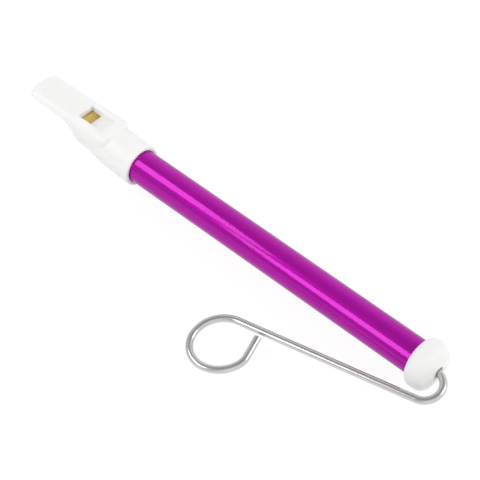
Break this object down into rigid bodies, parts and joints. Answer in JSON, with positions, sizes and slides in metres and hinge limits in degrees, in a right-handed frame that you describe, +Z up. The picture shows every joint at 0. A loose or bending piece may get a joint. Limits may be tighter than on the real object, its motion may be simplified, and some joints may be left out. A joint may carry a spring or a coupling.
{
  "type": "slide whistle",
  "caption": "Slide whistle with a beaked plastic mouthpiece, a straight metal tube, a round end cap and a bent wire slide that ends in a finger ring.",
  "frame": {"origin": "on the tube's axis, halfway along the bare stretch of tube between the mouthpiece and the cap", "axes": "+X along the tube towards the cap, the way the slide pulls out; +Z up through the sound window; the finger ring lies on the -Y side"},
  "size_m": [0.2474, 0.0714, 0.0233],
  "materials": {
    "white_plastic": "satin moulded plastic",
    "block_wood": "plain pale wood",
    "purple_metal": "glossy purple anodised",
    "piston_felt": "pressed felt",
    "washer_steel": "zinc plated",
    "wire_steel": "bright plated"
  },
  "bodies": {
    "whistle": {"mouthpiece": "white_plastic", "fipple_block": "block_wood", "tube": "purple_metal", "end_cap": "white_plastic"},
    "plunger": {"piston": "piston_felt", "front_washer": "washer_steel", "rear_washer": "washer_steel"},
    "wire": {"slide_wire": "wire_steel", "push_nut": "washer_steel"}
  },
  "joints": [
    {"name": "slide", "type": "slide", "parent": "whistle", "child": "plunger", "axis": [1, 0, 0], "range_m": [0, 0.1685]},
    {"name": "wire_swivel", "type": "hinge", "parent": "plunger", "child": "wire", "pos_m": [-0.08795, 0, 0], "axis": [-1, 0, 0], "continuous": true}
  ]
}
